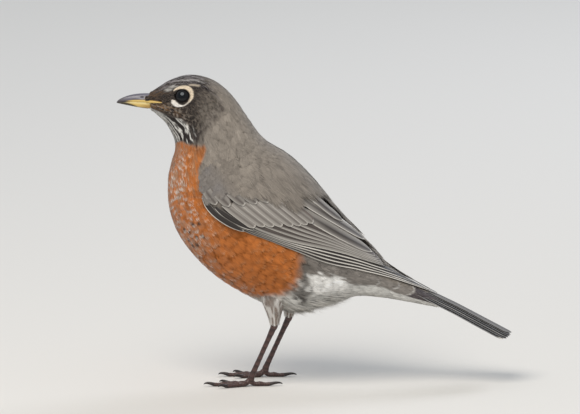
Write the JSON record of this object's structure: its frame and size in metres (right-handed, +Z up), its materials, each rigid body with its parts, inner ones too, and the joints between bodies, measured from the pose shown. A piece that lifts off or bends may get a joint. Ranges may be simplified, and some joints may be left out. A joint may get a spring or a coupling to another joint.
{
  "type": "american robin",
  "caption": "Thrush-like songbird standing on both feet, wings folded, orange breast, grey back, yellow bill; still life-size model.",
  "frame": {"origin": "on the floor under the middle of the bird's box, between bill tip and tail tip", "axes": "+Z up, the bird faces -X, its left side is towards -Y"},
  "size_m": [0.2058, 0.0644, 0.1616],
  "materials": {
    "head_feathers": "matt, short feathers: black with grey and white edges",
    "back_feathers": "matt, soft grey feathers",
    "breast_feathers": "matt, soft brick orange feathers with pale tips",
    "vent_feathers": "matt, fluffy white and grey feathers",
    "wing_coverts": "matt grey feathers with paler edges",
    "flight_feathers": "satin, dark grey vanes with pale outer edges",
    "tail_feathers": "satin, blackish vanes, white corner at the tip",
    "thigh_feathers": "matt, short grey and white feathers",
    "bill_upper": "satin horn, dark grey with a yellow edge",
    "bill_lower": "satin horn, yellow with a dark tip",
    "eye": "wet gloss, very dark brown",
    "leg_scales": "satin horny scales, dark brown",
    "claw": "satin horn, blackish"
  },
  "bodies": {
    "root": {"head": "head_feathers", "neck": "back_feathers", "breast": "breast_feathers", "belly": "breast_feathers", "rump": "vent_feathers", "left_eye": "eye", "right_eye": "eye", "bill_upper": "bill_upper", "bill_lower": "bill_lower", "left_wing_coverts": "wing_coverts", "left_wing_tertials": "flight_feathers", "left_wing_primaries": "flight_feathers", "right_wing_coverts": "wing_coverts", "right_wing_tertials": "flight_feathers", "right_wing_primaries": "flight_feathers", "tail": "tail_feathers", "left_thigh": "thigh_feathers", "left_shank": "leg_scales", "left_foot": "leg_scales", "left_claw_inner": "claw", "left_claw_middle": "claw", "left_claw_outer": "claw", "left_claw_hind": "claw", "right_thigh": "thigh_feathers", "right_shank": "leg_scales", "right_foot": "leg_scales", "right_claw_inner": "claw", "right_claw_middle": "claw", "right_claw_outer": "claw", "right_claw_hind": "claw"}
  },
  "joints": []
}
